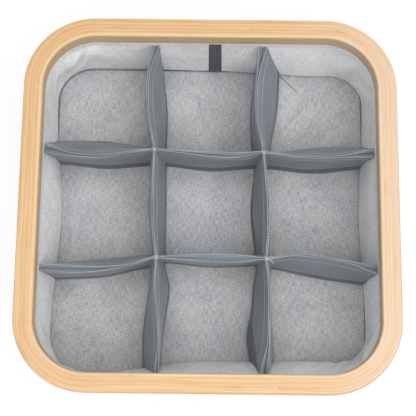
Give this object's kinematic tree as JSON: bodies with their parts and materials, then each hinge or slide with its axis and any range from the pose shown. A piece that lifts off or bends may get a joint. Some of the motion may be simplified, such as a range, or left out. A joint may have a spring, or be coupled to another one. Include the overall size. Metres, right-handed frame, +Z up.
{
  "type": "drawer organizer",
  "caption": "Square drawer organizer with round corners: a laminated bamboo rim holds a soft grey fabric tub, parted into open compartments by cloth dividers over a covered base insert.",
  "frame": {"origin": "middle of the tub's underside, on the surface that it stands on", "axes": "+Z up through the open top, +X to the right and +Y to the back wall, which carries the seam tape"},
  "size_m": [0.32, 0.32, 0.09],
  "materials": {
    "bamboo": "sanded bamboo with a satin lacquer",
    "pale_bamboo": "pale bamboo ply with a satin lacquer",
    "heather_cloth": "heather-grey linen-look weave",
    "slate_cloth": "slate non-woven cloth with sewn hems",
    "woven_tape": "charcoal woven binding tape",
    "greyboard": "raw greyboard"
  },
  "bodies": {
    "root": {"rim_ply_1_inner": "pale_bamboo", "rim_ply_2": "bamboo", "rim_ply_3": "bamboo", "rim_ply_4": "bamboo", "rim_ply_5_outer": "bamboo", "tub_lining": "heather_cloth", "tub_outer_skin": "heather_cloth", "wall_stiffener_right": "greyboard", "wall_stiffener_back": "greyboard", "wall_stiffener_left": "greyboard", "wall_stiffener_front": "greyboard", "tub_bottom": "heather_cloth", "seam_tape": "woven_tape", "base_board": "greyboard", "base_cover": "heather_cloth", "divider_back_left": "slate_cloth", "divider_back_middle": "slate_cloth", "divider_back_right": "slate_cloth", "divider_middle_left": "slate_cloth", "divider_centre": "slate_cloth", "divider_middle_right": "slate_cloth", "divider_front_left": "slate_cloth", "divider_front_middle": "slate_cloth", "divider_front_right": "slate_cloth"}
  },
  "joints": []
}
